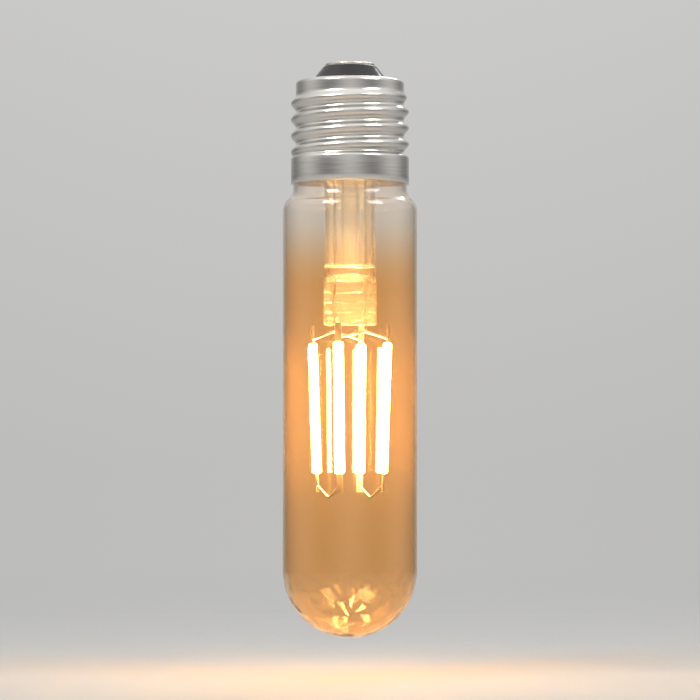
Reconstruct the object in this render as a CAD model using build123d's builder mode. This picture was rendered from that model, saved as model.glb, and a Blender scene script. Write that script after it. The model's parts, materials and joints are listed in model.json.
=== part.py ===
"""Tubular LED filament bulb with an E27 screw cap, modelled as it hangs: cap up, glass down.

Millimetres. The origin is the middle of the centre contact's outer face, on the bulb's axis.
+Z points up, out of the cap, so the whole bulb lies below the origin. Depths are measured
downwards from the contact face, and the viewer stands on the -Y side.
"""

from build123d import *

import math
import os

# Overall
lamp_length = 128.0
cap_height = 27.0

# Glass envelope, glued into the cap by its neck
tube_diameter = 30.0
glass_wall = 0.8
neck_clearance = 0.15
neck_insert = 5.2
neck_showing = 1.0
shoulder_height = 5.0

# Glass stem: a button that closes the neck, a tube and a flat press around the wires
button_thickness = 1.6
stem_diameter = 11.4
stem_wall = 0.9
stem_cavity_depth = 46.0
pinch_height = 4.0
press_height = 8.6
press_thickness = 3.6

# Exhaust tube, drawn to a closed point at its upper end
exhaust_diameter = 4.2
exhaust_wall = 0.7
exhaust_tip_depth = 17.0
exhaust_tip_height = 2.0
exhaust_port_diameter = 1.8

# Screw cap of thin sheet: a plain collar and above it a right-handed thread, made in straight steps
cap_diameter = 26.4
sheet = 0.3
thread_pitch = 3.629
thread_depth = 1.1
thread_start = 7.1
thread_steps = 24
runout_steps = 12
lip_depth = 3.8
lip_hole_diameter = 17.2

# Centre contact and the insulator that carries it
contact_diameter = 11.0
contact_thickness = 0.6
nose_diameter = 12.4
insulator_depth = 5.6

# LED filaments: bars on a ring below the stem, leaning inwards a little towards the round end
first_filament_angle = 253.0
ring_diameter_top = 17.4
ring_diameter_bottom = 15.4
filament_drop = 3.9
filament_length = 29.0
filament_width = 2.2
filament_thickness = 1.7
filament_chamfer = 0.45
tab_length = 4.2
tab_width = 1.4
tab_thickness = 0.3

# Wires that carry and join the filaments
lead_diameter = 0.7
bridge_diameter = 0.6
upper_bridge_drop = 1.3
upper_weld_rise = 1.0
lower_weld_drop = 2.9
lower_bridge_dip = 2.6
weld_gap = 0.05

# Driver board in the cap and what is on it
board_depth = 13.0
board_width = 14.0
board_thickness = 1.0
board_clearance = 0.2
capacitor_diameter = 6.3
capacitor_height = 5.4
capacitor_place = (-5.4, 3.2)
rectifier_length = 4.7
rectifier_width = 3.9
rectifier_height = 1.6
rectifier_place = (4.4, 3.9)
resistor_length = 4.5
resistor_width = 2.4
resistor_height = 1.1
resistor_place = (4.4, -4.0)
chip_length = 4.9
chip_width = 3.9
chip_height = 1.5
chip_place = (0.0, -4.4)
hookup_diameter = 0.8
neutral_start = 5.0

# Radii and depths that follow from the sizes above
cap_radius = cap_diameter / 2
cap_bore = cap_radius - sheet
lip_hole_radius = lip_hole_diameter / 2
hookup_radius = hookup_diameter / 2

tube_radius = tube_diameter / 2
neck_radius = cap_bore - neck_clearance
neck_bore = neck_radius - glass_wall
neck_end = cap_height - neck_insert
shoulder_top = cap_height + neck_showing
shoulder_bottom = shoulder_top + shoulder_height
dome_top = lamp_length - tube_radius

collar_top = neck_end - sheet
thread_root = cap_radius - thread_depth
thread_bore = thread_root - sheet
half_step = 180 / thread_steps
ridge_foot = (thread_root - sheet / 2) / math.cos(math.radians(half_step))
ridge_turns = (collar_top - thread_start) / thread_pitch + 0.5

stem_radius = stem_diameter / 2
stem_bore = stem_radius - stem_wall
button_bottom = neck_end + button_thickness
press_top = stem_cavity_depth + pinch_height
press_bottom = press_top + press_height
exhaust_radius = exhaust_diameter / 2
exhaust_shoulder = exhaust_tip_depth + exhaust_tip_height
lead_radius = lead_diameter / 2
lead_offset = (exhaust_radius + stem_bore) / 2

ring_top = ring_diameter_top / 2
ring_bottom = ring_diameter_bottom / 2
filament_depth = press_bottom + filament_drop
filament_slope = math.hypot(filament_length, ring_top - ring_bottom)
bridge_radius = bridge_diameter / 2
bridge_depth = press_bottom + upper_bridge_drop
lead_end = bridge_depth - bridge_radius - weld_gap

board_length = 2 * math.sqrt((thread_bore - board_clearance) ** 2 - (board_width / 2) ** 2)
board_bottom = board_depth + board_thickness

os.makedirs("parts", exist_ok=True)

# Glass envelope: one blown tube with a round end, a shoulder and a straight neck
with BuildPart() as glass_envelope:
    with BuildSketch(Plane.XZ):
        with BuildLine():
            for inset in (0, glass_wall):
                Polyline(
                    (neck_radius - inset, -neck_end),
                    (neck_radius - inset, -shoulder_top),
                    (tube_radius - inset, -shoulder_bottom),
                    (tube_radius - inset, -dome_top),
                )
                RadiusArc(
                    (tube_radius - inset, -dome_top), (0, inset - lamp_length), tube_radius - inset
                )
            Line((neck_radius, -neck_end), (neck_bore, -neck_end))
            Line((0, -lamp_length), (0, glass_wall - lamp_length))
        make_face()
    revolve(axis=Axis.Z)
glass_envelope.part.label = "glass_envelope"
export_step(glass_envelope.part, "parts/glass_envelope.step")

# Glass stem: its button seals the neck, and its far end is pinched flat around the lead-in wires
with BuildPart() as glass_stem:
    with BuildSketch(Plane.XY.offset(-button_bottom)):
        Circle(neck_bore)
    extrude(amount=button_thickness)
    with BuildSketch(Plane.XY.offset(-press_bottom)):
        Circle(stem_radius)
    extrude(amount=press_bottom - button_bottom)
    with BuildSketch(Plane.YZ):
        with BuildLine():
            Polyline(
                (press_thickness / 2, -press_bottom),
                (press_thickness / 2, -press_top),
                (stem_radius, -stem_cavity_depth),
                (stem_radius, -press_bottom),
                close=True,
            )
        make_face()
        mirror(about=Plane.YZ)
    extrude(amount=stem_radius, both=True, mode=Mode.SUBTRACT)
    with BuildSketch(Plane.XY.offset(-stem_cavity_depth)):
        Circle(stem_bore)
    extrude(amount=stem_cavity_depth - neck_end, mode=Mode.SUBTRACT)
    with BuildSketch(Plane.XY.offset(-press_bottom)):
        with Locations((-lead_offset, 0), (lead_offset, 0)):
            Circle(lead_radius)
    extrude(amount=press_bottom - stem_cavity_depth, mode=Mode.SUBTRACT)
    with BuildSketch(Plane(origin=(0, 0, -stem_cavity_depth), z_dir=(0, 1, -1))):
        Circle(exhaust_port_diameter / 2)
    extrude(amount=stem_radius, mode=Mode.SUBTRACT)
glass_stem.part.label = "glass_stem"
export_step(glass_stem.part, "parts/glass_stem.step")

# Exhaust tube: stands on the floor of the stem's cavity and opens into the bulb by the port
with BuildPart() as exhaust_tube:
    with BuildSketch(Plane.XZ):
        with BuildLine():
            Polyline(
                (0, -exhaust_tip_depth),
                (exhaust_radius, -exhaust_shoulder),
                (exhaust_radius, -stem_cavity_depth),
                (exhaust_radius - exhaust_wall, -stem_cavity_depth),
                (exhaust_radius - exhaust_wall, -exhaust_shoulder),
                (0, -exhaust_shoulder),
                close=True,
            )
        make_face()
    revolve(axis=Axis.Z)
exhaust_tube.part.label = "exhaust_tube"
export_step(exhaust_tube.part, "parts/exhaust_tube.step")

# Thread: a ridge that rises out of the cap's side, winds down it and runs into the collar; its
# crest, its two flanks and the valley beside it each take a quarter of the pitch
with BuildPart() as thread_ridge:
    for step in range(math.ceil(ridge_turns * thread_steps) + 1):
        turn = step / thread_steps
        angle = math.radians(half_step - 360 * turn)
        ridge_plane = Plane(
            origin=(0, 0, -thread_start - thread_pitch * turn),
            x_dir=(math.cos(angle), math.sin(angle), 0),
            z_dir=(math.sin(angle), -math.cos(angle), 0),
        )
        rise = min((step + 1) / runout_steps, 1)
        ridge_crest = ridge_foot + rise * (cap_radius - ridge_foot)
        with BuildSketch(ridge_plane):
            with BuildLine():
                Polyline(
                    (ridge_foot, -3 * thread_pitch / 8),
                    (ridge_crest, -thread_pitch / 8),
                    (ridge_crest, thread_pitch / 8),
                    (ridge_foot, 3 * thread_pitch / 8),
                    close=True,
                )
            make_face()
    loft(ruled=True)
    split(bisect_by=Plane.XY.offset(-collar_top), keep=Keep.TOP)

# Cap shell: a cup with an inturned lip, its threaded side narrower than the collar round the neck
with BuildPart() as cap_shell:
    with BuildSketch(Plane.XY.offset(-collar_top)):
        RegularPolygon(thread_root, thread_steps, major_radius=False, rotation=half_step)
    extrude(amount=collar_top - lip_depth)
    add(thread_ridge.part)
    with BuildSketch(Plane.XY.offset(-cap_height)):
        Circle(cap_radius)
    extrude(amount=cap_height - collar_top)
    with BuildSketch(Plane.XY.offset(-cap_height)):
        Circle(cap_bore)
    extrude(amount=neck_insert, mode=Mode.SUBTRACT)
    with BuildSketch(Plane.XY.offset(-neck_end)):
        RegularPolygon(thread_bore, thread_steps, major_radius=False, rotation=half_step)
    extrude(amount=neck_end - lip_depth - sheet, mode=Mode.SUBTRACT)
    with BuildSketch(Plane.XY.offset(-neck_end)):
        Circle(lip_hole_radius)
    extrude(amount=neck_end - lip_depth, mode=Mode.SUBTRACT)
cap_shell.part.label = "cap_shell"
export_step(cap_shell.part, "parts/cap_shell.step")

# Insulator: a black plug in the lip with a nose that narrows to the contact
with BuildPart() as cap_insulator:
    with BuildSketch(Plane.XZ):
        with BuildLine():
            Polyline(
                (hookup_radius, -contact_thickness),
                (nose_diameter / 2, -contact_thickness),
                (lip_hole_radius, -lip_depth),
                (lip_hole_radius, -insulator_depth),
                (hookup_radius, -insulator_depth),
                close=True,
            )
        make_face()
    revolve(axis=Axis.Z)
cap_insulator.part.label = "cap_insulator"
export_step(cap_insulator.part, "parts/cap_insulator.step")

# Centre contact: a flat plate on the nose
with BuildPart() as centre_contact:
    with BuildSketch(Plane.XY.offset(-contact_thickness)):
        Circle(contact_diameter / 2)
    extrude(amount=contact_thickness)
centre_contact.part.label = "centre_contact"
export_step(centre_contact.part, "parts/centre_contact.step")

# Lead-in wires: straight from the driver board through the press to the upper bridges
for name, side in (("lead_in_wire_a", -1), ("lead_in_wire_b", 1)):
    with BuildPart() as lead_in_wire:
        with BuildSketch(Plane.XY.offset(-lead_end)):
            with Locations((side * lead_offset, 0)):
                Circle(lead_radius)
        extrude(amount=lead_end - board_bottom)
    lead_in_wire.part.label = name
    export_step(lead_in_wire.part, f"parts/{name}.step")

# Each filament's plane lies across its upper end, with x along the ring and y towards the axis
filament_planes = []
for quarter_turn in (0, 90, 180, 270):
    angle = math.radians(first_filament_angle + quarter_turn)
    outwards = Vector(math.cos(angle), math.sin(angle), 0)
    filament_planes.append(
        Plane(
            origin=outwards * ring_top - Vector(0, 0, filament_depth),
            x_dir=(-math.sin(angle), math.cos(angle), 0),
            z_dir=outwards * (ring_top - ring_bottom) + Vector(0, 0, filament_length),
        )
    )

# Filaments: a coated bar with a metal tab standing out of either end
for number, plane in enumerate(filament_planes, start=1):
    with BuildPart() as filament:
        with BuildSketch(plane):
            Rectangle(filament_width, filament_thickness)
            chamfer(vertices(), length=filament_chamfer)
        extrude(amount=-filament_slope)
    filament.part.label = f"filament_{number}"
    export_step(filament.part, f"parts/filament_{number}.step")

    with BuildPart() as upper_tab:
        with BuildSketch(plane):
            Rectangle(tab_width, tab_thickness)
        extrude(amount=tab_length)
    upper_tab.part.label = f"filament_{number}_upper_tab"
    export_step(upper_tab.part, f"parts/filament_{number}_upper_tab.step")

    with BuildPart() as lower_tab:
        with BuildSketch(plane.offset(-filament_slope)):
            Rectangle(tab_width, tab_thickness)
        extrude(amount=-tab_length)
    lower_tab.part.label = f"filament_{number}_lower_tab"
    export_step(lower_tab.part, f"parts/filament_{number}_lower_tab.step")


def make_bridge(name, first, second, weld_height, bend):
    """Wire from one filament's tab to another's with one bend between, cut flush with both tabs.

    weld_height is the welds' height above the filaments' planes; without a bend of its own, the
    wire sags midway between its welds.
    """
    tab_faces = [
        Plane(plane.from_local_coords((0, tab_thickness / 2, weld_height)), z_dir=plane.y_dir)
        for plane in (first, second)
    ]
    start, end = (face.origin for face in tab_faces)
    if bend is None:
        bend = (start + end) / 2 - Vector(0, 0, lower_bridge_dip)
    overrun = 2 * bridge_diameter
    with BuildPart() as bridge:
        with BuildLine() as route:
            Polyline(
                start + (start - bend).normalized() * overrun,
                bend,
                end + (end - bend).normalized() * overrun,
            )
        with BuildSketch(Plane(route.wire() @ 0, z_dir=route.wire() % 0)):
            Circle(bridge_radius)
        sweep(transition=Transition.RIGHT)
        for face in tab_faces:
            split(bisect_by=face, keep=Keep.TOP)
    bridge.part.label = name
    export_step(bridge.part, f"parts/{name}.step")


# Bridges: the upper ones hang two filaments from each lead-in wire, the lower ones pair their ends
front, right, back, left = filament_planes
lead_a = Vector(-lead_offset, 0, -bridge_depth)
lead_b = Vector(lead_offset, 0, -bridge_depth)
lower_weld = -filament_slope - lower_weld_drop
make_bridge("upper_bridge_a", left, back, upper_weld_rise, lead_a)
make_bridge("upper_bridge_b", right, front, upper_weld_rise, lead_b)
make_bridge("lower_bridge_a", left, front, lower_weld, None)
make_bridge("lower_bridge_b", right, back, lower_weld, None)

# Driver board: its corners just pass inside the thread
with BuildPart() as driver_board:
    with BuildSketch(Plane.XY.offset(-board_bottom)):
        Rectangle(board_length, board_width)
    extrude(amount=board_thickness)
driver_board.part.label = "driver_board"
export_step(driver_board.part, "parts/driver_board.step")

# Smoothing capacitor: a can that stands on the board, towards the contact
with BuildPart() as smoothing_capacitor:
    with BuildSketch(Plane.XY.offset(-board_depth)):
        with Locations(capacitor_place):
            Circle(capacitor_diameter / 2)
    extrude(amount=capacitor_height)
smoothing_capacitor.part.label = "smoothing_capacitor"
export_step(smoothing_capacitor.part, "parts/smoothing_capacitor.step")

# Bridge rectifier: a flat package beside the capacitor
with BuildPart() as bridge_rectifier:
    with BuildSketch(Plane.XY.offset(-board_depth)):
        with Locations(rectifier_place):
            Rectangle(rectifier_length, rectifier_width)
    extrude(amount=rectifier_height)
bridge_rectifier.part.label = "bridge_rectifier"
export_step(bridge_rectifier.part, "parts/bridge_rectifier.step")

# Fuse resistor: a small block across the live side of the board
with BuildPart() as fuse_resistor:
    with BuildSketch(Plane.XY.offset(-board_depth)):
        with Locations(resistor_place):
            Rectangle(resistor_length, resistor_width)
    extrude(amount=resistor_height)
fuse_resistor.part.label = "fuse_resistor"
export_step(fuse_resistor.part, "parts/fuse_resistor.step")

# Driver chip: on the board's other face, towards the glass
with BuildPart() as driver_chip:
    with BuildSketch(Plane.XY.offset(-board_bottom)):
        with Locations(chip_place):
            Rectangle(chip_length, chip_width)
    extrude(amount=-chip_height)
driver_chip.part.label = "driver_chip"
export_step(driver_chip.part, "parts/driver_chip.step")

# Live wire: on the axis, from the contact through the insulator to the board
with BuildPart() as live_wire:
    with BuildSketch(Plane.XY.offset(-board_depth)):
        Circle(hookup_radius)
    extrude(amount=board_depth - contact_thickness)
live_wire.part.label = "live_wire"
export_step(live_wire.part, "parts/live_wire.step")

# Neutral wire: along the board and out to a flat of the cap shell's bore
with BuildPart() as neutral_wire:
    with BuildSketch(Plane.YZ.offset(neutral_start)):
        with Locations((0, hookup_radius - board_depth)):
            Circle(hookup_radius)
    extrude(amount=thread_bore - neutral_start)
neutral_wire.part.label = "neutral_wire"
export_step(neutral_wire.part, "parts/neutral_wire.step")
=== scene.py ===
# %% [markdown]
# # A tubular LED filament bulb
#
# The bulb hangs with its cap up: an amber glass tube with a round end, a clear glass stem inside it,
# four lit filament sticks held by wires, and a screw cap. The solids are loaded first. The sizes could
# be typed in again, but reading them from the solids keeps every visible piece where its solid is.

# %% Load the solids
import json
import math

import bmesh
import bpy
from mathutils import Matrix, Vector, noise

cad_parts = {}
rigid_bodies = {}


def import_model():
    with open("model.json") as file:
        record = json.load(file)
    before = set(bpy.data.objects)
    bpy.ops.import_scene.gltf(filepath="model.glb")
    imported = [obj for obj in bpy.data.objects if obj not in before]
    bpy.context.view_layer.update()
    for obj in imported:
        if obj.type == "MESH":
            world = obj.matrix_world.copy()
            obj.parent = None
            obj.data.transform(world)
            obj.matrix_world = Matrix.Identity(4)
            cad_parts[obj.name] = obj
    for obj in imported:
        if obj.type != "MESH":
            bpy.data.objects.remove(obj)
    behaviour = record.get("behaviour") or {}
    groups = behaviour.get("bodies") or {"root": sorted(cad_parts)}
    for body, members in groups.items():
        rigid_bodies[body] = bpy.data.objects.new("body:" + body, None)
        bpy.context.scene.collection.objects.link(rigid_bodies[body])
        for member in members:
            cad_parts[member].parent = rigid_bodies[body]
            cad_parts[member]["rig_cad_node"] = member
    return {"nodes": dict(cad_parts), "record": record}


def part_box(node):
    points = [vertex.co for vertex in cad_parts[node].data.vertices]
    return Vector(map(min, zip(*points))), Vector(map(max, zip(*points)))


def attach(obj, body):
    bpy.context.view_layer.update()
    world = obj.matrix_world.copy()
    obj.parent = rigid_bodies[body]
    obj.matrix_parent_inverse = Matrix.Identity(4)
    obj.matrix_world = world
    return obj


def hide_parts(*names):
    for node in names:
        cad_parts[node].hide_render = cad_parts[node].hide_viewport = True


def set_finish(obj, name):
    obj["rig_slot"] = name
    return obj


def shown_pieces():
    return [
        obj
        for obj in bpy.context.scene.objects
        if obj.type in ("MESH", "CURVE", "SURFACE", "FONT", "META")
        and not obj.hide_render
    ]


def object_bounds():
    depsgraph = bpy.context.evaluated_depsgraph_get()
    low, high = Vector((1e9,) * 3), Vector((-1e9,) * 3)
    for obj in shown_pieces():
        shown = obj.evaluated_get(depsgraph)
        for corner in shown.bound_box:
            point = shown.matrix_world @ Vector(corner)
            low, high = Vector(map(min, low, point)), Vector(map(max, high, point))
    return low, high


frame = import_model()
cad_low, cad_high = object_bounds()

MM = 0.001


def in_mm(length):
    """A length in millimetres, for printing."""
    return round(length / MM, 2)


print("solids loaded:", len(frame["nodes"]), "height in mm:", in_mm(cad_high.z - cad_low.z))

# %% [markdown]
# ## Turning and finishing
#
# Blown tubes, spun caps and pressed plates are all round about the bulb's axis. A lathe profile could be
# a Screw modifier on a curve, but in bmesh one vertex can be drawn along like a pen: an extrude makes a
# straight stretch, and a spin of the single vertex makes a true arc. A second spin turns the profile.

# %% Pen strokes
ARC_STEPS = 10


def pen_down(bm, radius, height):
    """Start a stroke in the XZ plane."""
    return bm.verts.new((radius, 0, height))


def line_to(bm, tip, radius, height, steps=1):
    """Draw a straight stretch in even steps and return its far end."""
    start = tip.co.copy()
    reach = Vector((radius, 0, height)) - start
    for step in range(1, steps + 1):
        tip = bmesh.ops.extrude_vert_indiv(bm, verts=[tip])["verts"][0]
        tip.co = start + reach * step / steps
    return tip


def arc_to(bm, tip, centre_radius, centre_height, degrees, steps=ARC_STEPS):
    """Draw an arc about a centre, clockwise for a positive angle, and return its far end."""
    made = bmesh.ops.spin(
        bm, geom=[tip], cent=(centre_radius, 0, centre_height), axis=(0, 1, 0),
        angle=math.radians(degrees), steps=steps,
    )
    return next(item for item in made["geom_last"] if isinstance(item, bmesh.types.BMVert))


print("steps in an arc:", ARC_STEPS)

# %% Turning a profile
TURN_STEPS = 128


def turn(bm):
    """Spin the drawn profile once round the bulb's axis."""
    bmesh.ops.spin(
        bm, geom=bm.verts[:] + bm.edges[:], cent=(0, 0, 0), axis=(0, 0, 1),
        angle=math.tau, steps=TURN_STEPS, use_merge=True,
    )
    print("profile turned, faces:", len(bm.faces))


print("steps in a full turn:", TURN_STEPS)

# %% Finishing a piece
WELD = 0.0005 * MM
SHARP_ANGLE = 38


def add_object(name, data):
    """Put an object in the scene."""
    added = bpy.data.objects.new(name, data)
    bpy.context.scene.collection.objects.link(added)
    return added


def add_mesh(name, bm):
    """Put a bmesh in the scene as an object."""
    mesh = bpy.data.meshes.new(name)
    bm.to_mesh(mesh)
    bm.free()
    return add_object(name, mesh)


def finish_piece(name, bm, slot, node):
    """Close and smooth a piece, ride it on the bulb and let it stand for its solid."""
    bmesh.ops.remove_doubles(bm, verts=bm.verts, dist=WELD)
    bmesh.ops.recalc_face_normals(bm, faces=bm.faces)
    piece = add_mesh(name, bm)
    piece.data.shade_smooth()
    piece.data.set_sharp_from_angle(angle=math.radians(SHARP_ANGLE))
    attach(piece, "root")
    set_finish(piece, slot)
    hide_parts(node)
    print(name, "faces:", len(piece.data.polygons))
    return piece


print("edges stay sharp above", SHARP_ANGLE, "degrees")

# %% [markdown]
# ## Glass envelope
#
# The envelope is one blown tube: a straight neck that goes into the cap, a soft shoulder, the tube and a
# half-round end. A single surface with a Solidify modifier would give the wall too, but drawing the
# outside and the inside as two strokes keeps the wall even right down to the pole, which glass shows.

# %% Envelope sizes
CAP_SHEET = 0.3 * MM
NECK_GAP = 0.15 * MM
NECK_SHOWING = 1.0 * MM
SHOULDER_HEIGHT = 5.0 * MM

envelope_low, envelope_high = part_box("glass_envelope")
cap_low, cap_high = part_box("cap_shell")
tube_radius = (envelope_high.x - envelope_low.x) / 2
cap_radius = (cap_high.x - cap_low.x) / 2
neck_radius = cap_radius - CAP_SHEET - NECK_GAP
neck_top = envelope_high.z
cap_rim = cap_low.z
shoulder_top = cap_rim - NECK_SHOWING
shoulder_bottom = shoulder_top - SHOULDER_HEIGHT
dome_centre = envelope_low.z + tube_radius
print("radius in mm of the tube:", in_mm(tube_radius), "and of its neck:", in_mm(neck_radius))

# %% Turned envelope
GLASS_WALL = 0.8 * MM
TUBE_ROWS = 12
DOME_ROWS = 32
QUARTER_TURN = 90

# The shoulder is an S of two equal arcs, one bent in and one bent out
shoulder_step = tube_radius - neck_radius
shoulder_bend = (shoulder_step ** 2 + SHOULDER_HEIGHT ** 2) / (4 * shoulder_step)
shoulder_turn = math.degrees(math.asin(SHOULDER_HEIGHT / 2 / shoulder_bend))


def draw_envelope_side(bm, inset):
    """Draw one side of the wall from the neck to the pole and return the neck's end of it."""
    start = pen_down(bm, neck_radius - inset, neck_top)
    tip = line_to(bm, start, neck_radius - inset, shoulder_top)
    tip = arc_to(bm, tip, neck_radius + shoulder_bend, shoulder_top, -shoulder_turn)
    tip = arc_to(bm, tip, tube_radius - shoulder_bend, shoulder_bottom, shoulder_turn)
    tip = line_to(bm, tip, tube_radius - inset, dome_centre, TUBE_ROWS)
    arc_to(bm, tip, 0, dome_centre, QUARTER_TURN, DOME_ROWS)
    return start


envelope_mesh = bmesh.new()
neck_ends = [draw_envelope_side(envelope_mesh, inset) for inset in (0, GLASS_WALL)]
bmesh.ops.contextual_create(envelope_mesh, geom=neck_ends)
turn(envelope_mesh)

# %% [markdown]
# ## Uneven dome
#
# The round end was closed in a flame, so its inside is a little uneven and breaks the filaments' mirror
# images into sparkles. A bump would bend the light too, but moving the inner wall shows in the mesh.

# %% Uneven dome
DOME_UNEVEN = 0.10 * MM
DOME_PATCH = 2.6 * MM
DOME_EVEN = 4.7 * MM

middle_of_wall = tube_radius - GLASS_WALL / 2
for vert in envelope_mesh.verts:
    out = vert.co - Vector((0, 0, dome_centre))
    if out.z < 0 and out.length < middle_of_wall:
        fade_in = min(-out.z / DOME_EVEN, 1)
        vert.co += out.normalized() * DOME_UNEVEN * noise.noise(vert.co / DOME_PATCH) * fade_in

finish_piece("amber_envelope", envelope_mesh, "amber_glass", "glass_envelope")

# %% [markdown]
# ## Glass stem
#
# The stem is a glass tube that flares out to meet the neck. Its lower end was heated and pinched flat
# around the wires. It is turned first, as on a glass lathe. A cube could be bridged to a tube for the
# press, but squeezing the turned mesh in one direction is what the jaws did, and leaves no seam.

# %% Stem sizes
STEM_RADIUS = 5.7 * MM
STEM_WALL = 0.9 * MM
GLASS_GAP = 0.04 * MM

stem_low, stem_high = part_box("glass_stem")
exhaust_low, exhaust_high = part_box("exhaust_tube")
stem_bore = STEM_RADIUS - STEM_WALL
cavity_floor = exhaust_low.z
press_end = stem_low.z
flare_rim = stem_high.x - GLASS_GAP
flare_face = stem_high.z - STEM_WALL
flare_centre = flare_face - (flare_rim - STEM_RADIUS)
print("stem's cavity in mm:", in_mm(stem_high.z - cavity_floor), "press:", in_mm(cavity_floor - press_end))

# %% Turned stem
PRESS_EDGE = 0.8 * MM
FLOOR_CORNER = 1.4 * MM
STEM_ROWS = 4
PRESS_ROWS = 40
END_ROWS = 3
CORNER_STEPS = 6

edge_height = press_end + PRESS_EDGE
corner_height = cavity_floor + FLOOR_CORNER

stem_mesh = bmesh.new()
outer_rim = pen_down(stem_mesh, flare_rim, flare_face)
tip = arc_to(stem_mesh, outer_rim, flare_rim, flare_centre, -QUARTER_TURN)
tip = line_to(stem_mesh, tip, STEM_RADIUS, cavity_floor, STEM_ROWS)
tip = line_to(stem_mesh, tip, STEM_RADIUS, edge_height, PRESS_ROWS)
tip = arc_to(stem_mesh, tip, STEM_RADIUS - PRESS_EDGE, edge_height, QUARTER_TURN, CORNER_STEPS)
line_to(stem_mesh, tip, 0, press_end, END_ROWS)
inner_rim = pen_down(stem_mesh, flare_rim, flare_face + STEM_WALL)
tip = arc_to(stem_mesh, inner_rim, flare_rim, flare_centre, -QUARTER_TURN)
tip = line_to(stem_mesh, tip, stem_bore, corner_height, STEM_ROWS)
tip = arc_to(stem_mesh, tip, stem_bore - FLOOR_CORNER, corner_height, QUARTER_TURN, CORNER_STEPS)
line_to(stem_mesh, tip, 0, cavity_floor)
bmesh.ops.contextual_create(stem_mesh, geom=[outer_rim, inner_rim])
turn(stem_mesh)

# %% Pinching the press
PINCH_HEIGHT = 4.0 * MM
PINCH_SHARPNESS = 6
PRESS_THICKNESS = 3.6 * MM
PRESS_SPREAD = 0.04
JAW_MARK = 0.16 * MM
JAW_PITCH = 2.2 * MM
LUMP = 0.45 * MM
LUMP_WIDTH = 1.5 * MM


def ease(height, start, end):
    """Rise smoothly from nothing at one height to one at another."""
    share = max(0, min((height - start) / (end - start), 1))
    return share * share * (3 - 2 * share)


def half_press(place, pinch):
    """Half the press's thickness at a place, with its rounded end, jaw marks and lumps."""
    half = PRESS_THICKNESS / 2
    into_edge = edge_height - place.z
    if into_edge > 0:
        half -= PRESS_EDGE - math.sqrt(max(PRESS_EDGE ** 2 - into_edge ** 2, 0))
    half += JAW_MARK * math.cos(math.tau * (place.z - press_end) / JAW_PITCH) * pinch
    return half + LUMP * noise.noise(place / LUMP_WIDTH) * pinch


for vert in stem_mesh.verts:
    pinch = ease(vert.co.z, cavity_floor, cavity_floor - PINCH_HEIGHT)
    squeeze = (abs(vert.co.y) * pinch / half_press(vert.co, pinch)) ** PINCH_SHARPNESS
    vert.co.y /= (1 + squeeze) ** (1 / PINCH_SHARPNESS)
    vert.co.x *= 1 + PRESS_SPREAD * pinch

finish_piece("clear_stem", stem_mesh, "clear_glass", "glass_stem")

# %% [markdown]
# ## Exhaust tube
#
# Air was drawn out through this thin tube, and then its end was melted shut to a point. It could be a
# cylinder with a cone on top, but a drawn end is a smooth curve, so the point is one large arc.

# %% Exhaust tube
EXHAUST_WALL = 0.7 * MM
EXHAUST_ROWS = 4
TIP_TURN = 40
TIP_WALLS = 2

exhaust_radius = (exhaust_high.x - exhaust_low.x) / 2
exhaust_foot = exhaust_low.z + GLASS_GAP


def draw_exhaust_side(bm, inset):
    """Draw one side of the wall from its foot to the axis and return its foot."""
    radius = exhaust_radius - inset
    bend = radius / (1 - math.cos(math.radians(TIP_TURN)))
    tip_start = exhaust_high.z - TIP_WALLS * inset - bend * math.sin(math.radians(TIP_TURN))
    foot = pen_down(bm, radius, exhaust_foot)
    tip = line_to(bm, foot, radius, tip_start, EXHAUST_ROWS)
    arc_to(bm, tip, radius - bend, tip_start, -TIP_TURN)
    return foot


exhaust_mesh = bmesh.new()
exhaust_feet = [draw_exhaust_side(exhaust_mesh, inset) for inset in (0, EXHAUST_WALL)]
bmesh.ops.contextual_create(exhaust_mesh, geom=exhaust_feet)
turn(exhaust_mesh)
finish_piece("sealed_exhaust_tube", exhaust_mesh, "clear_glass", "exhaust_tube")

# %% [markdown]
# ## Screw cap
#
# The cap is thin nickel-plated sheet. It was drawn to a cup with a wider collar, and its round thread was
# rolled into it, so the inside follows the outside. A separate helix laid on a cylinder would leave a seam
# all the way round. Instead the cup is turned with many rows, each vertex is pushed out by how near it
# lies to the crest of the thread, and a Solidify modifier gives the sheet its thickness.

# %% Cap cup
THREAD_DEPTH = 1.1 * MM
THREAD_ROWS = 84
COLLAR_ROWS = 3
FLAT_ROWS = 2
LIP_CORNER = 0.9 * MM
LIP_HOLE = 8.6 * MM

cap_top = cap_high.z
collar_top = neck_top + CAP_SHEET
thread_root = cap_radius - THREAD_DEPTH
lip_edge = thread_root - LIP_CORNER

cap_mesh = bmesh.new()
tip = pen_down(cap_mesh, LIP_HOLE, cap_top)
tip = line_to(cap_mesh, tip, lip_edge, cap_top, FLAT_ROWS)
tip = arc_to(cap_mesh, tip, lip_edge, cap_top - LIP_CORNER, QUARTER_TURN, CORNER_STEPS)
tip = line_to(cap_mesh, tip, thread_root, collar_top, THREAD_ROWS)
line_to(cap_mesh, tip, thread_root, cap_rim, COLLAR_ROWS)
turn(cap_mesh)

# %% Rolling the thread
THREAD_PITCH = 3.629 * MM
RIDGE_DROP = 2.1 * MM
RIDGE_RISE = 2.8 * MM
COLLAR_BEND = 1.6 * MM

# The driver's neutral wire ends in a valley of the thread, so it tells where the valleys lie
wire_low, wire_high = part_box("neutral_wire")
valley_height = (wire_low.z + wire_high.z) / 2
ridge_start = cap_top - RIDGE_DROP

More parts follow.
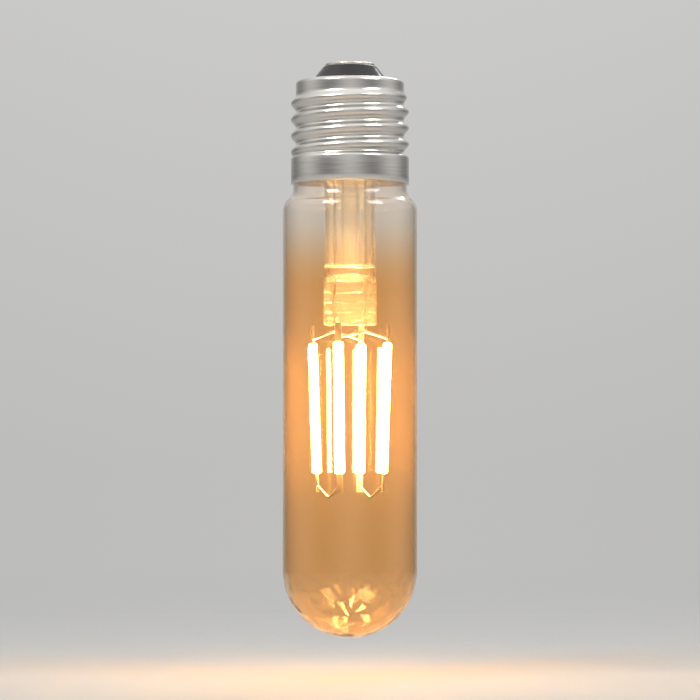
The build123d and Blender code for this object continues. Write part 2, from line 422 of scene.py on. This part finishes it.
for vert in cap_mesh.verts:
    radius = math.hypot(vert.co.x, vert.co.y)
    turns = math.atan2(vert.co.y, vert.co.x) / math.tau
    phase = (vert.co.z - valley_height) / THREAD_PITCH - turns
    ridge = (1 - math.cos(math.tau * phase)) / 2 * ease(vert.co.z, ridge_start, ridge_start - RIDGE_RISE)
    collar = ease(vert.co.z, collar_top + COLLAR_BEND, collar_top)
    pushed = THREAD_DEPTH * (ridge + collar - ridge * collar)
    vert.co.x *= 1 + pushed / radius
    vert.co.y *= 1 + pushed / radius

cap = finish_piece("rolled_cap", cap_mesh, "nickel", "cap_shell")
sheet_wall = cap.modifiers.new("sheet", "SOLIDIFY")
sheet_wall.thickness = CAP_SHEET
sheet_wall.offset = -1
sheet_wall.use_even_offset = True

# %% [markdown]
# ## Insulator and centre contact
#
# Black glass fills the hole in the cap's lip and carries the contact plate on its nose. It was poured and
# pressed, so it has no sharp corner on top. A Bevel modifier could round a plain cone, but with the pen
# each corner gets its own small arc or slope as the outline is drawn.

# %% Insulator
NOSE_RADIUS = 6.2 * MM
NOSE_CORNER = 0.6 * MM
NOSE_TURN = 62
CONE_ROWS = 3
SKIRT_CORNER = 0.5 * MM
PRESS_FIT = 0.02 * MM

insulator_low, insulator_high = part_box("cap_insulator")
plug_radius = LIP_HOLE - PRESS_FIT
nose_top = insulator_high.z
nose_edge = NOSE_RADIUS - NOSE_CORNER

insulator_mesh = bmesh.new()
tip = pen_down(insulator_mesh, 0, nose_top)
tip = line_to(insulator_mesh, tip, nose_edge, nose_top, FLAT_ROWS)
tip = arc_to(insulator_mesh, tip, nose_edge, nose_top - NOSE_CORNER, NOSE_TURN, CORNER_STEPS)
tip = line_to(insulator_mesh, tip, plug_radius - SKIRT_CORNER, cap_top + SKIRT_CORNER, CONE_ROWS)
tip = line_to(insulator_mesh, tip, plug_radius, cap_top, FLAT_ROWS)
tip = line_to(insulator_mesh, tip, plug_radius, insulator_low.z)
line_to(insulator_mesh, tip, 0, insulator_low.z)
turn(insulator_mesh)
finish_piece("black_glass_insulator", insulator_mesh, "black_glass", "cap_insulator")

# %% Contact plate
CONTACT_EDGE = 0.25 * MM
EDGE_STEPS = 5
GROOVE_RADIUS = 3.4 * MM
GROOVE_HALF = 0.5 * MM
GROOVE_DEPTH = 0.16 * MM

contact_low, contact_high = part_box("centre_contact")
contact_radius = (contact_high.x - contact_low.x) / 2
contact_top = contact_high.z
plate_edge = contact_radius - CONTACT_EDGE

contact_mesh = bmesh.new()
tip = pen_down(contact_mesh, 0, contact_top)
tip = line_to(contact_mesh, tip, GROOVE_RADIUS - GROOVE_HALF, contact_top, FLAT_ROWS)
tip = line_to(contact_mesh, tip, GROOVE_RADIUS, contact_top - GROOVE_DEPTH, FLAT_ROWS)
tip = line_to(contact_mesh, tip, GROOVE_RADIUS + GROOVE_HALF, contact_top, FLAT_ROWS)
tip = line_to(contact_mesh, tip, plate_edge, contact_top, FLAT_ROWS)
tip = arc_to(contact_mesh, tip, plate_edge, contact_top - CONTACT_EDGE, QUARTER_TURN, EDGE_STEPS)
tip = line_to(contact_mesh, tip, contact_radius, contact_low.z)
line_to(contact_mesh, tip, 0, contact_low.z)
turn(contact_mesh)
finish_piece("contact_plate", contact_mesh, "tinned_brass", "centre_contact")

# %% [markdown]
# ## Filament sticks
#
# Each filament is a thin strip of tiny lamps with a yellow coat around it and a metal tab at either end.
# The coat is soft rubber that was dipped on, so its section is round and its ends are too. bmesh has no
# capsule shape to start from. A cube with its long edges bevelled, and then its ends, gives the same
# form. The tabs tell where each stick stands and how it leans.

# %% Where the filaments stand
FILAMENTS = (1, 2, 3, 4)
FRONT, RIGHT, BACK, LEFT = FILAMENTS
TAB_LENGTH = 4.2 * MM


def filament_ends(number):
    """The middles of a filament's upper and lower tabs."""
    boxes = [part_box(f"filament_{number}_{end}_tab") for end in ("upper", "lower")]
    return [(low + high) / 2 for low, high in boxes]


def filament_place(number):
    """Matrix that puts z along a filament, y towards the bulb's axis and the origin at its middle."""
    upper, lower = filament_ends(number)
    along = (upper - lower).normalized()
    inwards = -Vector((upper.x, upper.y, 0)).normalized()
    sideways = inwards.cross(along).normalized()
    inwards = along.cross(sideways)
    turned = Matrix((sideways, inwards, along)).transposed().to_4x4()
    return Matrix.Translation((upper + lower) / 2) @ turned


places = {number: filament_place(number) for number in FILAMENTS}
front_upper, front_lower = filament_ends(FRONT)
stick_length = (front_upper - front_lower).length - TAB_LENGTH
print("stick length in mm:", in_mm(stick_length))

# %% Sticks
STICK_WIDTH = 2.2 * MM
STICK_THICKNESS = 1.7 * MM
SIDE_ROUND = 0.8 * MM
SIDE_SEGMENTS = 8
END_ROUND = 0.45 * MM
END_SEGMENTS = 5
END_FACING = 0.9


def round_edges(bm, edges, offset, segments):
    """Bevel some edges to a round."""
    bmesh.ops.bevel(
        bm, geom=edges, offset=offset, affect="EDGES", segments=segments, profile=0.5, material=-1,
    )


def make_stick(number):
    """One coated filament: a bevelled bar set in its place."""
    bm = bmesh.new()
    bmesh.ops.create_cube(bm, size=1)
    bmesh.ops.scale(bm, vec=(STICK_WIDTH, STICK_THICKNESS, stick_length), verts=bm.verts)
    long_edges = [edge for edge in bm.edges if abs(edge.verts[0].co.z - edge.verts[1].co.z) > END_ROUND]
    round_edges(bm, long_edges, SIDE_ROUND, SIDE_SEGMENTS)
    end_faces = [face for face in bm.faces if abs(face.normal.z) > END_FACING]
    end_edges = {edge for face in end_faces for edge in face.edges}
    round_edges(bm, list(end_edges), END_ROUND, END_SEGMENTS)
    bmesh.ops.transform(bm, matrix=places[number], verts=bm.verts)
    finish_piece(f"filament_stick_{number}", bm, "phosphor", f"filament_{number}")


for number in FILAMENTS:
    make_stick(number)

# %% [markdown]
# ## Bridge wires
#
# Two wires share the four filaments between the lead-in wires, and two more join their far ends in
# pairs. A curve with a round bevel would do, but a bent wire is a straight leg, a bend on a former and
# another leg, and the mesh is made in that order: a circle is extruded, spun through the bend and
# extruded again.

# %% Bending a wire
WIRE_RADIUS = 0.3 * MM
WIRE_SIDES = 16
BEND_STEPS = 10


def push_out(bm, tip, along):
    """Extrude a wire's end, its face with its edges, and return the new end."""
    made = bmesh.ops.extrude_face_region(bm, geom=tip)["geom"]
    moved = [item for item in made if isinstance(item, bmesh.types.BMVert)]
    bmesh.ops.translate(bm, vec=along, verts=moved)
    return made


def bend_wire(name, start, corner, end, bend_radius, node):
    """Wire from start to end with one rounded bend near a corner."""
    first = (corner - start).normalized()
    second = (end - corner).normalized()
    angle = first.angle(second)
    axis = first.cross(second).normalized()
    trim = bend_radius * math.tan(angle / 2)
    bend_start = corner - first * trim
    centre = bend_start + axis.cross(first) * bend_radius
    bm = bmesh.new()
    circle = bmesh.ops.create_circle(bm, cap_ends=True, radius=WIRE_RADIUS, segments=WIRE_SIDES)
    stand = Vector((0, 0, 1)).rotation_difference(first).to_matrix().to_4x4()
    bmesh.ops.transform(bm, matrix=Matrix.Translation(start) @ stand, verts=circle["verts"])
    tip = push_out(bm, bm.faces[:] + bm.edges[:], bend_start - start)
    tip = bmesh.ops.spin(bm, geom=tip, cent=centre, axis=axis, angle=angle, steps=BEND_STEPS)["geom_last"]
    push_out(bm, tip, end - corner - second * trim)
    finish_piece(name, bm, "wire", node)


print("wire diameter in mm:", in_mm(2 * WIRE_RADIUS))

# %% Upper and lower bridges
TAB_THICKNESS = 0.3 * MM
UPPER_BEND = 1.0 * MM
UPPER_WELD = 1.0 * MM
LOWER_BEND = 1.6 * MM
LOWER_WELD = 2.9 * MM
LOWER_DIP = 2.6 * MM


def weld_point(number, height):
    """Point on the inner face of a filament's tab, at a height along the filament from its middle."""
    return places[number] @ Vector((0, TAB_THICKNESS / 2, height))


def lead_end(node):
    """Where a lead-in wire meets its bridge."""
    low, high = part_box(node)
    return Vector(((low.x + high.x) / 2, (low.y + high.y) / 2, low.z - WIRE_RADIUS))


upper_height = stick_length / 2 + UPPER_WELD
for letter, first, second in (("a", LEFT, BACK), ("b", RIGHT, FRONT)):
    start, end = weld_point(first, upper_height), weld_point(second, upper_height)
    lead = lead_end(f"lead_in_wire_{letter}")
    bend_wire(f"upper_wire_{letter}", start, lead, end, UPPER_BEND, f"upper_bridge_{letter}")

lower_height = -stick_length / 2 - LOWER_WELD
for letter, first, second in (("a", LEFT, FRONT), ("b", RIGHT, BACK)):
    start, end = weld_point(first, lower_height), weld_point(second, lower_height)
    dip = (start + end) / 2 - Vector((0, 0, LOWER_DIP))
    bend_wire(f"lower_wire_{letter}", start, dip, end, LOWER_BEND, f"lower_bridge_{letter}")

# %% [markdown]
# ## Finishes
#
# Every finish is built on one Principled shader, with what varies on the real surface brought in by
# noise: a little colour, a little roughness, a little bump. Photographs of surfaces could be wrapped round
# the pieces, but noise needs no unwrapping and has no seam. The patterns read Object coordinates, which on
# these pieces are the bulb's own coordinates in metres, so a scale of 1000 gives a pattern about a
# millimetre wide.

# %% A base finish and its noise


def new_finish(name, **values):
    """A material with one Principled shader, its sockets set by name."""
    finish = bpy.data.materials.new(name)
    finish.use_nodes = True
    shader = finish.node_tree.nodes["Principled BSDF"]
    for socket, value in values.items():
        shader.inputs[socket.replace("_", " ")].default_value = value
    return finish, finish.node_tree, shader


def noise_on(tree, scale, detail=3.0, stretch=(1, 1, 1)):
    """Noise on Object coordinates, as a value."""
    place = tree.nodes.new("ShaderNodeTexCoord")
    mapping = tree.nodes.new("ShaderNodeMapping")
    mapping.inputs["Scale"].default_value = stretch
    grain = tree.nodes.new("ShaderNodeTexNoise")
    grain.inputs["Scale"].default_value = scale
    grain.inputs["Detail"].default_value = detail
    tree.links.new(place.outputs["Object"], mapping.inputs["Vector"])
    tree.links.new(mapping.outputs["Vector"], grain.inputs["Vector"])
    return grain.outputs["Fac"]


print("materials that came with the solids:", len(bpy.data.materials))

# %% What a pattern can do
PATTERN_LOW = 0.3
PATTERN_HIGH = 0.7


def spread(tree, value, start, end, low, high):
    """Map a value from one range to another."""
    span = tree.nodes.new("ShaderNodeMapRange")
    for socket, number in (("From Min", start), ("From Max", end), ("To Min", low), ("To Max", high)):
        span.inputs[socket].default_value = number
    tree.links.new(value, span.inputs["Value"])
    return span.outputs["Result"]


def vary(tree, value, socket, low, high):
    """Let a pattern move a socket between two values."""
    tree.links.new(spread(tree, value, PATTERN_LOW, PATTERN_HIGH, low, high), socket)


def tint(tree, value, socket, first, last, start=PATTERN_LOW, end=PATTERN_HIGH):
    """Let a pattern move a colour socket from one colour to another."""
    ramp = tree.nodes.new("ShaderNodeValToRGB")
    ramp.color_ramp.interpolation = "EASE"
    for stop, position, colour in zip(ramp.color_ramp.elements, (start, end), (first, last)):
        stop.position = position
        stop.color = (*colour, 1)
    tree.links.new(value, ramp.inputs["Fac"])
    tree.links.new(ramp.outputs["Color"], socket)


def emboss(tree, value, shader, height):
    """Let a pattern raise the surface by a height."""
    bump = tree.nodes.new("ShaderNodeBump")
    bump.inputs["Distance"].default_value = height
    bump.inputs["Strength"].default_value = 1.0
    tree.links.new(value, bump.inputs["Height"])
    tree.links.new(bump.outputs["Normal"], shader.inputs["Normal"])


print("noise is used from", PATTERN_LOW, "to", PATTERN_HIGH)

# %% Heights and mixes


def share_of_height(tree, start, end, most=1.0):
    """Value that rises from nothing at one height on the bulb to its most at another."""
    place = tree.nodes.new("ShaderNodeTexCoord")
    split = tree.nodes.new("ShaderNodeSeparateXYZ")
    tree.links.new(place.outputs["Object"], split.inputs["Vector"])
    return spread(tree, split.outputs["Z"], start, end, 0, most)


def mix_shaders(tree, share, first, second, output):
    """Mix two shaders by a share and send the result to the output's surface."""
    mix = tree.nodes.new("ShaderNodeMixShader")
    tree.links.new(share, mix.inputs["Fac"])
    tree.links.new(first, mix.inputs[1])
    tree.links.new(second, mix.inputs[2])
    tree.links.new(mix.outputs["Shader"], output.inputs["Surface"])


print("heights in mm run from", in_mm(cad_low.z), "to", in_mm(cad_high.z))

# %% [markdown]
# ## Glass finishes
#
# The envelope's glass is tinted amber and the stem's is clear. A Glass shader would bend light too, but
# Principled keeps its tint and gloss in an exported model. Refracting glass stops straight light from the
# lamps, so for shadow rays alone it is swapped for a Transparent shader of the same tint. That keeps the
# wires lit and lets the filaments warm the floor.

# %% Amber and clear glass
GLASS_IOR = 1.5
GLASS_WAVE = 110
GLASS_DRAW = (1, 1, 0.35)
DEPTH_DENSITY = 500
AMBER = (0.995, 0.732, 0.435)
CLEAR = (0.98, 0.96, 0.92)


def glass_finish(name, colour, clearness, lustre, depth_colour, ripple):
    """Refracting glass that lets the lamps' straight light through and deepens with its thickness."""
    finish, tree, shader = new_finish(
        name, Base_Color=(*colour, 1), Roughness=0.0, IOR=GLASS_IOR, Transmission_Weight=clearness,
        Specular_IOR_Level=lustre,
    )
    emboss(tree, noise_on(tree, GLASS_WAVE, detail=1.0, stretch=GLASS_DRAW), shader, ripple)
    # A shadow ray meets two faces of a wall, so each face takes the square root of the tint
    clear = tree.nodes.new("ShaderNodeBsdfTransparent")
    clear.inputs["Color"].default_value = (*[math.sqrt(channel) for channel in colour], 1)
    path = tree.nodes.new("ShaderNodeLightPath")
    output = tree.nodes["Material Output"]
    mix_shaders(tree, path.outputs["Is Shadow Ray"], shader.outputs["BSDF"], clear.outputs["BSDF"], output)
    depth = tree.nodes.new("ShaderNodeVolumeAbsorption")
    depth.inputs["Color"].default_value = (*depth_colour, 1)
    depth.inputs["Density"].default_value = DEPTH_DENSITY
    tree.links.new(depth.outputs["Volume"], output.inputs["Volume"])
    return finish


amber_glass = glass_finish(
    "amber_glass", AMBER, clearness=0.989, lustre=1.0, depth_colour=(0.97, 0.90, 0.82), ripple=0.02 * MM)
clear_glass = glass_finish(
    "clear_glass", CLEAR, clearness=0.86, lustre=0.5, depth_colour=(0.99, 0.985, 0.98), ripple=0.10 * MM)
print("glass finishes:", amber_glass.name, clear_glass.name)

# %% [markdown]
# ## Fading the amber
#
# The amber grows paler towards the neck, which is almost clear. Two finishes could be split at a ring
# of faces, but one colour that follows the height fades without an edge.

# %% Fading the amber
NECK_TINT = (1.0, 0.985, 0.955)
FADE_START = 5 * MM
FADE_END = 24 * MM

amber_tree = amber_glass.node_tree
amber_share = share_of_height(amber_tree, cap_rim - FADE_START, cap_rim - FADE_END)
amber_colour = amber_tree.nodes["Principled BSDF"].inputs["Base Color"]
tint(amber_tree, amber_share, amber_colour, NECK_TINT, AMBER, start=0, end=1)
print("amber fades over", in_mm(FADE_END - FADE_START), "mm")

# %% [markdown]
# ## Clouding the press
#
# The jaws left the pinched glass slightly dull. The press could be a piece with a finish of its own, but
# it is one with the tube. Its roughness follows the height too, so that the tube above stays bright.

# %% Clouding the press
PRESS_CLOUD = 0.18

press_tree = clear_glass.node_tree
press_dullness = share_of_height(press_tree, corner_height, cavity_floor - PINCH_HEIGHT, PRESS_CLOUD)
press_tree.links.new(press_dullness, press_tree.nodes["Principled BSDF"].inputs["Roughness"])
print("glass turns dull below", in_mm(corner_height), "mm")

# %% [markdown]
# ## Metal finishes
#
# The cap is nickel plate on rolled sheet, with fine lines round it from the rolls. The wires and tabs are
# drawn and stamped, duller than the plate, and the contact plate is tinned. The shader's own anisotropy
# could smear the highlights along the lines. Noise that is stretched one way does that and shows the
# lines as well.

# %% Metals
METAL_DETAIL = 5.0


def uneven_finish(name, dark, light, rough, scale, relief, detail=3.0, stretch=(1, 1, 1), **values):
    """A finish whose tone, gloss and surface vary with one noise pattern."""
    finish, tree, shader = new_finish(name, **values)
    pattern = noise_on(tree, scale, detail, stretch)
    tint(tree, pattern, shader.inputs["Base Color"], dark, light)
    vary(tree, pattern, shader.inputs["Roughness"], *rough)
    emboss(tree, pattern, shader, relief)
    return finish


def metal_finish(name, dark, light, rough, scale, relief=0.004 * MM, stretch=(1, 1, 1)):
    """Bare metal with a fine pattern."""
    return uneven_finish(
        name, dark, light, rough, scale, relief, detail=METAL_DETAIL, stretch=stretch, Metallic=1.0)


nickel = metal_finish(
    "nickel_plate", dark=(0.68, 0.66, 0.62), light=(0.77, 0.75, 0.71), rough=(0.16, 0.27),
    scale=160, relief=0.001 * MM, stretch=(1, 1, 26))
tinned = metal_finish(
    "tinned_contact", dark=(0.68, 0.64, 0.55), light=(0.77, 0.73, 0.64), rough=(0.22, 0.36),
    scale=1600, relief=0.002 * MM)
wire = metal_finish(
    "drawn_wire", dark=(0.48, 0.45, 0.41), light=(0.66, 0.63, 0.59), rough=(0.28, 0.44),
    scale=1500, stretch=(1, 1, 0.2))
tab_metal = metal_finish(
    "stamped_tab", dark=(0.58, 0.55, 0.50), light=(0.74, 0.71, 0.66), rough=(0.3, 0.45), scale=1200)
can_metal = metal_finish(
    "aluminium_can", dark=(0.62, 0.63, 0.65), light=(0.76, 0.77, 0.79), rough=(0.28, 0.4),
    scale=500, stretch=(1, 1, 6))
print("metal finishes:", nickel.name, tinned.name, wire.name, tab_metal.name, can_metal.name)

# %% [markdown]
# ## Lit coat
#
# The coat on the sticks is yellow, and lit it is warm white. Lamps could be hidden in the sticks, but the
# light comes from the shader's own emission, so the sticks themselves light the glass, the press and the
# wires as the real ones do.

# %% Lit coat
GLOW_COLOUR = (1.0, 0.80, 0.48, 1)
GLOW_STRENGTH = 85.0
COAT_GRAIN = 900
COAT_RELIEF = 0.02 * MM

lit_coat, coat_tree, coat = new_finish(
    "lit_coat", Roughness=0.5, Emission_Color=GLOW_COLOUR, Emission_Strength=GLOW_STRENGTH)
coat_pattern = noise_on(coat_tree, COAT_GRAIN)
tint(coat_tree, coat_pattern, coat.inputs["Base Color"], (0.95, 0.66, 0.16), (1.0, 0.80, 0.30))
emboss(coat_tree, coat_pattern, coat, COAT_RELIEF)
print("lit coat strength:", GLOW_STRENGTH)

# %% [markdown]
# ## Black glass and driver parts
#
# The insulator is glossy black glass. The driver inside the cap is a green board with moulded packages.
# Flat colours would do for such small parts, but moulded and poured surfaces are never quite even, so
# they take the same kind of pattern as the metals, wide and soft on the glass and fine on the rest.

# %% Insulating finishes
black_glass = uneven_finish(
    "black_glass", dark=(0.010, 0.010, 0.011), light=(0.022, 0.022, 0.024), rough=(0.10, 0.22),
    scale=260, relief=0.02 * MM)
board = uneven_finish(
    "board_mask", dark=(0.035, 0.16, 0.07), light=(0.05, 0.22, 0.10), rough=(0.35, 0.5),
    scale=800, relief=0.01 * MM)
package = uneven_finish(
    "black_package", dark=(0.02, 0.02, 0.02), light=(0.04, 0.04, 0.042), rough=(0.5, 0.65),
    scale=2500, relief=0.01 * MM)
resistor = uneven_finish(
    "resistor_body", dark=(0.2, 0.25, 0.29), light=(0.28, 0.33, 0.37), rough=(0.3, 0.45),
    scale=900, relief=0.01 * MM)
print("insulating finishes:", black_glass.name, board.name, package.name, resistor.name)

# %% [markdown]
# ## Putting the finishes on
#
# Every piece names a slot, and every slot has one finish. The finishes could be assigned piece by piece,
# but a table of slots dresses the new pieces and the solids in the same way, the hidden ones too.

# %% Putting the finishes on
finishes = {
    "amber_glass": amber_glass, "clear_glass": clear_glass, "nickel": nickel, "black_glass": black_glass,
    "tinned_brass": tinned, "wire": wire, "phosphor": lit_coat, "tab_metal": tab_metal, "board": board,
    "capacitor_can": can_metal, "black_package": package, "resistor_body": resistor,
}
node_slots = {row["node"]: row["material_slot"] for row in frame["record"]["subparts"]}


def dress(piece, slot):
    """Give a piece the one finish of its slot."""
    piece.data.materials.clear()
    piece.data.materials.append(finishes[slot])


shown = list(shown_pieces())
for piece in shown:
    dress(piece, piece.get("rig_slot") or node_slots[piece["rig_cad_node"]])
for name, node in frame["nodes"].items():
    dress(node, node_slots[name])
print("pieces dressed:", len(shown))

# %% [markdown]
# ## Floor
#
# The bulb hangs just above a pale floor. A large plane would show a horizon, and a curved backdrop would
# get in the way of the view from behind. A round sheet that thins out to nothing at its edge does neither.

# %% Floor
FLOOR_DROP = 9 * MM
FLOOR_RADIUS = 0.9
FLOOR_SIDES = 96

floor_height = cad_low.z - FLOOR_DROP
floor_mesh = bmesh.new()
bmesh.ops.create_circle(floor_mesh, cap_ends=True, segments=FLOOR_SIDES, radius=FLOOR_RADIUS)
bmesh.ops.translate(floor_mesh, vec=(0, 0, floor_height), verts=floor_mesh.verts)
floor = add_mesh("pale_floor", floor_mesh)
print("floor at", in_mm(floor_height), "mm")

# %% Floor finish
PALE = (0.53, 0.53, 0.52)

floor_finish, floor_tree, floor_shader = new_finish("pale_floor", Base_Color=(*PALE, 1), Roughness=0.9)
floor_place = floor_tree.nodes.new("ShaderNodeTexCoord")
floor_map = floor_tree.nodes.new("ShaderNodeMapping")
floor_map.inputs["Scale"].default_value = (1 / FLOOR_RADIUS, 1 / FLOOR_RADIUS, 0)
floor_fade = floor_tree.nodes.new("ShaderNodeTexGradient")
floor_fade.gradient_type = "QUADRATIC_SPHERE"
floor_open = floor_tree.nodes.new("ShaderNodeBsdfTransparent")
floor_tree.links.new(floor_place.outputs["Object"], floor_map.inputs["Vector"])
floor_tree.links.new(floor_map.outputs["Vector"], floor_fade.inputs["Vector"])
mix_shaders(
    floor_tree, floor_fade.outputs["Fac"], floor_open.outputs["BSDF"], floor_shader.outputs["BSDF"],
    floor_tree.nodes["Material Output"],
)
floor.data.materials.append(floor_finish)
print("floor thins out over", FLOOR_RADIUS, "m")

# %% [markdown]
# ## Room
#
# Metal and glass show what is around them, so the room has a brighter ceiling and darker corners. A
# picture of a studio could be wrapped round the scene, but a few Math nodes on the viewing direction draw
# as plain a room, and nothing has to be loaded. The camera, mirrors and glass see that room. Matt surfaces
# get an even light instead, so their colours look as they are written.

# %% Brightness of the room
WORLD_SEEN = 0.52
SKY_SEEN = 1.1
CORNER_SHADE = 0.4
CORNER_PEAK = 0.25

world = bpy.data.worlds.new("studio")
bpy.context.scene.world = world
world.use_nodes = True
world_tree = world.node_tree


def combine(operation, first, second):
    """Join two of the world's values with a Math node."""
    math_node = world_tree.nodes.new("ShaderNodeMath")
    math_node.operation = operation
    world_tree.links.new(first, math_node.inputs[0])
    world_tree.links.new(second, math_node.inputs[1])
    return math_node.outputs["Value"]


direction = world_tree.nodes.new("ShaderNodeTexCoord")
split = world_tree.nodes.new("ShaderNodeSeparateXYZ")
world_tree.links.new(direction.outputs["Generated"], split.inputs["Vector"])
ceiling_light = spread(world_tree, split.outputs["Z"], 0, 1, WORLD_SEEN, SKY_SEEN)

# The product of x and y, squared, is nothing at the walls' middles and at its peak in the four corners
corner_side = combine("MULTIPLY", split.outputs["X"], split.outputs["Y"])
corner_depth = combine("MULTIPLY", corner_side, corner_side)
corner_light = spread(world_tree, corner_depth, 0, CORNER_PEAK, 1, CORNER_SHADE)
room_light = combine("MULTIPLY", ceiling_light, corner_light)
print("room's brightness from", WORLD_SEEN * CORNER_SHADE, "to", SKY_SEEN)

# %% Seen room and even light
EVEN_LIGHT = 0.45
ROOM_COLOUR = (1.0, 0.995, 0.985, 1)
WHITE = (1, 1, 1, 1)

even = world_tree.nodes["Background"]
even.inputs["Color"].default_value = WHITE
even.inputs["Strength"].default_value = EVEN_LIGHT
seen = world_tree.nodes.new("ShaderNodeBackground")
seen.inputs["Color"].default_value = ROOM_COLOUR
world_tree.links.new(room_light, seen.inputs["Strength"])

rays = world_tree.nodes.new("ShaderNodeLightPath").outputs
seen_by = combine("MAXIMUM", rays["Is Camera Ray"], rays["Is Glossy Ray"])
seen_by = combine("MAXIMUM", seen_by, rays["Is Transmission Ray"])
mix_shaders(
    world_tree, seen_by, even.outputs["Background"], seen.outputs["Background"],
    world_tree.nodes["World Output"],
)
print("even light:", EVEN_LIGHT)

# %% [markdown]
# ## Lamps
#
# A studio lights glass with large soft boxes, because their mirror images give the tube its long
# highlights. Point lamps would leave only dots. Three square area lamps stand round the bulb: a stronger
# one at the front left, a weaker one at the front right, and one behind it for the edges.

# %% Lamps
bulb_middle = (cad_low + cad_high) / 2


def soft_lamp(name, place, size, power):
    """A square area lamp that faces the bulb."""
    data = bpy.data.lights.new(name, "AREA")
    data.shape = "SQUARE"
    data.size = size
    data.energy = power
    lamp = add_object(name, data)
    lamp.location = place
    lamp.rotation_euler = (bulb_middle - lamp.location).to_track_quat("-Z", "Y").to_euler()


soft_lamp("key_lamp", place=(-0.50, -0.55, 0.70), size=0.40, power=5.0)
soft_lamp("fill_lamp", place=(0.60, -0.45, 0.60), size=0.40, power=3.0)
soft_lamp("back_lamp", place=(0.25, 0.70, 0.60), size=0.35, power=2.0)
print("lamps:", len(bpy.data.lights))

# %% [markdown]
# ## Camera
#
# The bulb is seen straight from the front, from a little below its middle. A wide lens close by would
# make its two ends look turned away. A long lens from further off keeps the tube straight and even.

# %% Camera
CAMERA_DISTANCE = 0.8
CAMERA_DROP = 25 * MM
FRAME_HEIGHT = 156 * MM
SENSOR = 36
NEAREST = 0.01

camera_data = bpy.data.cameras.new("camera")
camera_data.sensor_width = SENSOR
camera_data.lens = SENSOR * CAMERA_DISTANCE / FRAME_HEIGHT
camera_data.clip_start = NEAREST
camera = add_object("camera", camera_data)
camera.location = bulb_middle + Vector((0, -CAMERA_DISTANCE, -CAMERA_DROP))
camera.rotation_euler = (bulb_middle - camera.location).to_track_quat("-Z", "Y").to_euler()
bpy.context.scene.camera = camera
print("lens in mm:", round(camera_data.lens, 1))

# %% [markdown]
# ## Render settings
#
# Light crosses many faces of glass before it leaves the bulb, so it is followed for more bounces than
# usual. Cycles cuts off very bright indirect light to keep noise down. That would dull the filaments'
# mirror images in the round end, so the limit is raised. More samples would not bring them back.

# %% Render settings
LIGHT_BOUNCES = 24
SPARKLE_LIMIT = 120

scene = bpy.context.scene
scene.view_settings.view_transform = "Standard"
scene.cycles.max_bounces = LIGHT_BOUNCES
scene.cycles.transmission_bounces = LIGHT_BOUNCES
scene.cycles.transparent_max_bounces = LIGHT_BOUNCES
scene.cycles.sample_clamp_indirect = SPARKLE_LIMIT
print("light bounces:", LIGHT_BOUNCES)
